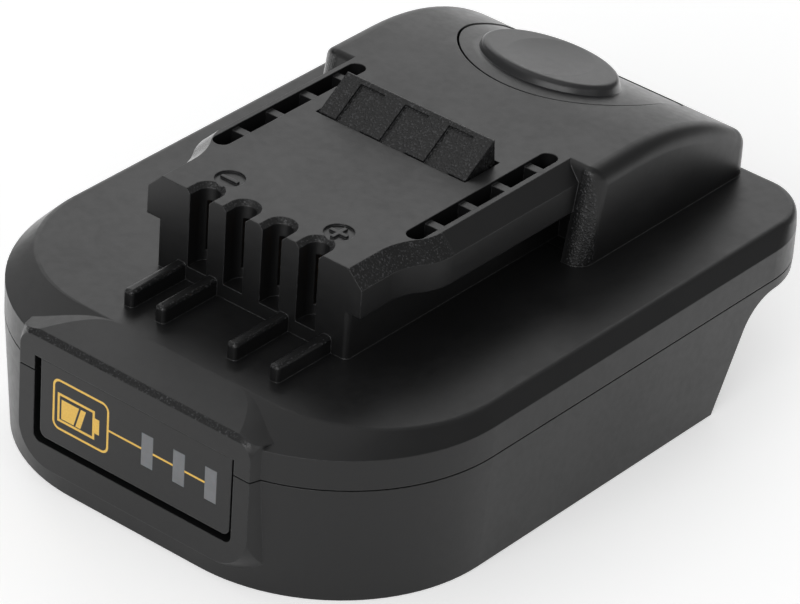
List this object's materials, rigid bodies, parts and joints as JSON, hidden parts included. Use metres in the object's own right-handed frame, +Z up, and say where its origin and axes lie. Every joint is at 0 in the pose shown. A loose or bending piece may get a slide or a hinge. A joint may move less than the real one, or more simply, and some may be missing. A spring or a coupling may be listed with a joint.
{
  "type": "tool battery adapter",
  "caption": "Slide-on adapter that lets a cordless tool take another maker's battery pack: rails, contact slots and latch on top, a battery channel underneath, charge gauge in front.",
  "frame": {"origin": "below the middle of the body, on the surface that it stands on", "axes": "+X to the right seen from the gauge, +Y from the gauge to the rear, +Z up"},
  "size_m": [0.08, 0.106, 0.0442],
  "materials": {
    "shell_plastic": "fine moulded grain, soft sheen",
    "cover_plastic": "fine moulded grain, soft sheen",
    "button_plastic": "fine moulded grain, smooth pad",
    "latch_plastic": "coarse grain in the ramp pockets",
    "panel_plastic": "fine moulded grain",
    "gauge_gold": "printed, flat",
    "window_plastic": "cloudy light guide",
    "board_green": "solder mask",
    "component_plastic": "moulded package",
    "capacitor_sleeve": "shrunk sleeve",
    "lamp_plastic": "clear resin",
    "holder_plastic": "glass filled, dull",
    "contact_brass": "rolled strip",
    "blade_metal": "tinned strip",
    "spring_steel": "drawn wire",
    "screw_steel": "plated",
    "ribbon_plastic": "flat cable",
    "switch_plastic": "moulded body"
  },
  "bodies": {
    "housing": {"lower_shell": "shell_plastic", "top_cover": "cover_plastic", "latch_spring_left": "spring_steel", "latch_spring_right": "spring_steel", "gauge_board": "board_green", "gauge_lamp_1": "lamp_plastic", "gauge_lamp_2": "lamp_plastic", "gauge_lamp_3": "lamp_plastic", "gauge_switch": "switch_plastic", "gauge_ribbon": "ribbon_plastic", "control_board": "board_green", "board_capacitor": "capacitor_sleeve", "board_chip": "component_plastic", "board_transistors": "component_plastic", "board_screws": "screw_steel", "cover_screws": "screw_steel", "tool_terminal_block": "holder_plastic", "tool_contact_1": "contact_brass", "tool_contact_2": "contact_brass", "tool_contact_3": "contact_brass", "tool_contact_4": "contact_brass", "battery_terminal_block": "holder_plastic", "power_blade_left": "blade_metal", "power_blade_right": "blade_metal", "signal_blade_left": "blade_metal", "signal_blade_right": "blade_metal"},
    "latch": {"release_button": "button_plastic", "latch_carrier": "latch_plastic", "button_screws": "screw_steel"},
    "panel": {"gauge_panel": "panel_plastic", "gauge_print": "gauge_gold", "gauge_window_1": "window_plastic", "gauge_window_2": "window_plastic", "gauge_window_3": "window_plastic"},
    "plunger": {"gauge_plunger": "lamp_plastic"}
  },
  "joints": [
    {"name": "latch_press", "type": "slide", "parent": "housing", "child": "latch", "axis": [0, 0, -1], "range_m": [0, 0.0043], "stiffness_N_per_m": 900, "springref_m": -0.003, "deforming": ["latch_spring_left", "latch_spring_right"]},
    {"name": "gauge_panel_flex", "type": "hinge", "parent": "housing", "child": "panel", "pos_m": [0, -0.051, 0.021], "axis": [1, 0, 0], "range_deg": [0, 3.4], "stiffness_Nm_per_rad": 0.6},
    {"name": "gauge_switch_press", "type": "slide", "parent": "housing", "child": "plunger", "axis": [0, 1, 0], "range_m": [0, 0.0004]}
  ],
  "couplings": [
    {"joint": "gauge_switch_press", "follows": "gauge_panel_flex", "m_per_rad": 0.0059}
  ]
}
